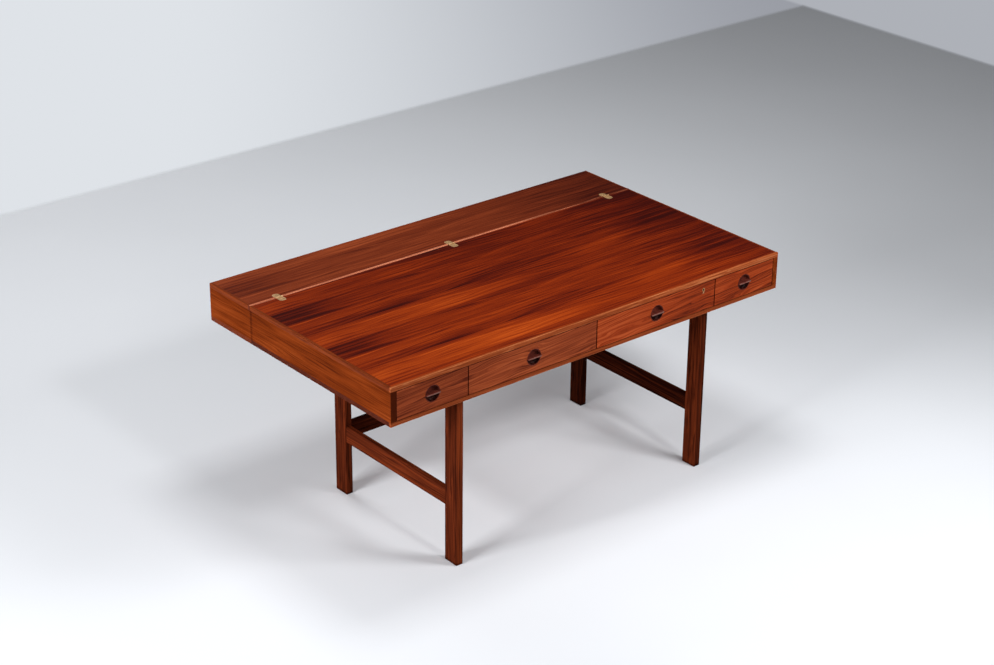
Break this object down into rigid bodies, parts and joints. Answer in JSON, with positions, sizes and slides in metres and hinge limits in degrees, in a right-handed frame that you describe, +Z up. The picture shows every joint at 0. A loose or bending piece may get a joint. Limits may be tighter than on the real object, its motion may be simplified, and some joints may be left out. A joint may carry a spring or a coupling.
{
  "type": "partners desk",
  "caption": "Flip-top partners desk on a leg frame, with flush drawers, cup pulls and a hinged rear box that folds over the top as a row of pigeonholes.",
  "frame": {"origin": "on the floor, under the middle of the desk's bounding box", "axes": "+X to the right of someone who sits at the drawers, +Y from the drawers to the back, +Z up"},
  "size_m": [1.625, 0.9716, 0.7336],
  "materials": {
    "top_veneer": "rosewood veneer with bold dark figure, satin lacquer",
    "end_veneer": "rosewood veneer, warm brown, satin lacquer",
    "front_veneer": "rosewood veneer, reddish brown, satin lacquer",
    "lipping": "solid rosewood edging, lighter than the veneer, satin lacquer",
    "frame_wood": "solid dark rosewood, satin lacquer",
    "inner_wood": "plain dark hardwood and veneered board, matt lacquer",
    "drawer_wood": "pale hardwood, waxed",
    "pull_wood": "turned near-black rosewood, satin lacquer",
    "brass": "aged satin brass",
    "steel": "dull zinc-plated steel"
  },
  "bodies": {
    "desk": {"front_left_leg": "frame_wood", "front_right_leg": "frame_wood", "back_left_leg": "frame_wood", "back_right_leg": "frame_wood", "left_stretcher": "frame_wood", "right_stretcher": "frame_wood", "back_stretcher": "frame_wood", "left_upper_rail": "frame_wood", "right_upper_rail": "frame_wood", "base_screws": "steel", "top_panel": "top_veneer", "top_front_lipping": "lipping", "top_end_lippings": "lipping", "bottom_panel": "inner_wood", "bottom_front_lipping": "lipping", "left_side_panel": "end_veneer", "right_side_panel": "end_veneer", "back_panel": "inner_wood", "drawer_dividers": "inner_wood", "drawer_runners": "drawer_wood", "hinge_fixed_leaves": "brass", "hinge_pins": "brass", "hinge_fixed_screws": "brass"},
    "flip_box": {"flip_top_panel": "top_veneer", "flip_front_lipping": "lipping", "flip_end_lippings": "lipping", "flip_bottom_panel": "inner_wood", "flip_left_end": "end_veneer", "flip_right_end": "end_veneer", "flip_inner_panel": "inner_wood", "flip_dividers": "inner_wood", "hinge_moving_leaves": "brass", "hinge_moving_screws": "brass"},
    "bolt": {"lock_bolt": "brass"},
    "left_outer_drawer": {"left_outer_drawer_front": "front_veneer", "left_outer_drawer_left_side": "drawer_wood", "left_outer_drawer_right_side": "drawer_wood", "left_outer_drawer_back": "drawer_wood", "left_outer_drawer_bottom": "drawer_wood", "left_outer_drawer_pull": "pull_wood"},
    "left_inner_drawer": {"left_inner_drawer_front": "front_veneer", "left_inner_drawer_left_side": "drawer_wood", "left_inner_drawer_right_side": "drawer_wood", "left_inner_drawer_back": "drawer_wood", "left_inner_drawer_bottom": "drawer_wood", "left_inner_drawer_pull": "pull_wood"},
    "right_inner_drawer": {"right_inner_drawer_front": "front_veneer", "right_inner_drawer_left_side": "drawer_wood", "right_inner_drawer_right_side": "drawer_wood", "right_inner_drawer_back": "drawer_wood", "right_inner_drawer_bottom": "drawer_wood", "right_inner_drawer_pull": "pull_wood", "lock_case": "steel", "keyhole_escutcheon": "brass"},
    "right_outer_drawer": {"right_outer_drawer_front": "front_veneer", "right_outer_drawer_left_side": "drawer_wood", "right_outer_drawer_right_side": "drawer_wood", "right_outer_drawer_back": "drawer_wood", "right_outer_drawer_bottom": "drawer_wood", "right_outer_drawer_pull": "pull_wood"}
  },
  "joints": [
    {"name": "flip_hinge", "type": "hinge", "parent": "desk", "child": "flip_box", "pos_m": [0, 0.2557, 0.7306], "axis": [1, 0, 0], "range_deg": [0, 180]},
    {"name": "left_outer_drawer_slide", "type": "slide", "parent": "desk", "child": "left_outer_drawer", "axis": [0, -1, 0], "range_m": [0, 0.42]},
    {"name": "left_inner_drawer_slide", "type": "slide", "parent": "desk", "child": "left_inner_drawer", "axis": [0, -1, 0], "range_m": [0, 0.42]},
    {"name": "right_inner_drawer_slide", "type": "slide", "parent": "desk", "child": "right_inner_drawer", "axis": [0, -1, 0], "range_m": [0, 0.42]},
    {"name": "right_outer_drawer_slide", "type": "slide", "parent": "desk", "child": "right_outer_drawer", "axis": [0, -1, 0], "range_m": [0, 0.42]},
    {"name": "bolt_slide", "type": "slide", "parent": "right_inner_drawer", "child": "bolt", "axis": [0, 0, 1], "range_m": [0, 0.008]}
  ]
}
